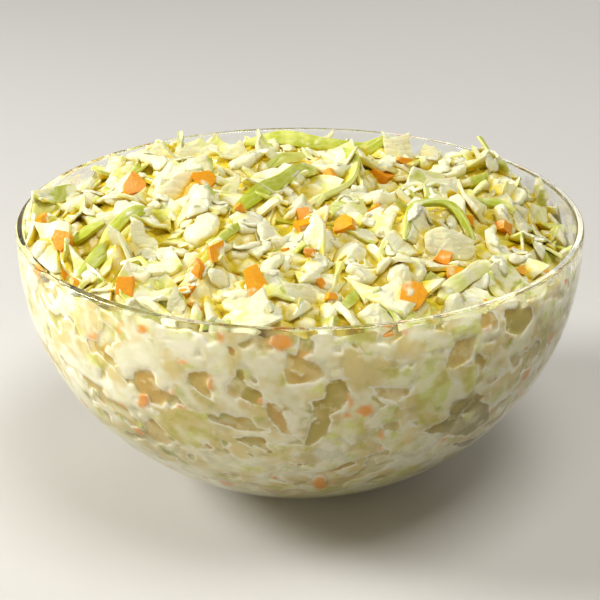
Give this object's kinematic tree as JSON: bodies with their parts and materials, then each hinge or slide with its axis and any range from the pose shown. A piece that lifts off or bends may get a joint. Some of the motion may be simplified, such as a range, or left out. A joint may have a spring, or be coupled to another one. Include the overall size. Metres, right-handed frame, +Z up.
{
  "type": "coleslaw in a glass bowl",
  "caption": "Round clear glass bowl with a small flat foot, heaped with creamy coleslaw that mounds over the rim; for serving food on a table.",
  "frame": {"origin": "middle of the flat underside that the bowl stands on", "axes": "+Z up along the bowl's turning axis, -Y towards the viewer, +X to the viewer's right"},
  "size_m": [0.16, 0.16, 0.0852],
  "materials": {
    "clear_glass": "clear, polished",
    "dressed_salad": "wet, creamy"
  },
  "bodies": {
    "root": {"bowl": "clear_glass", "coleslaw": "dressed_salad"}
  },
  "joints": []
}
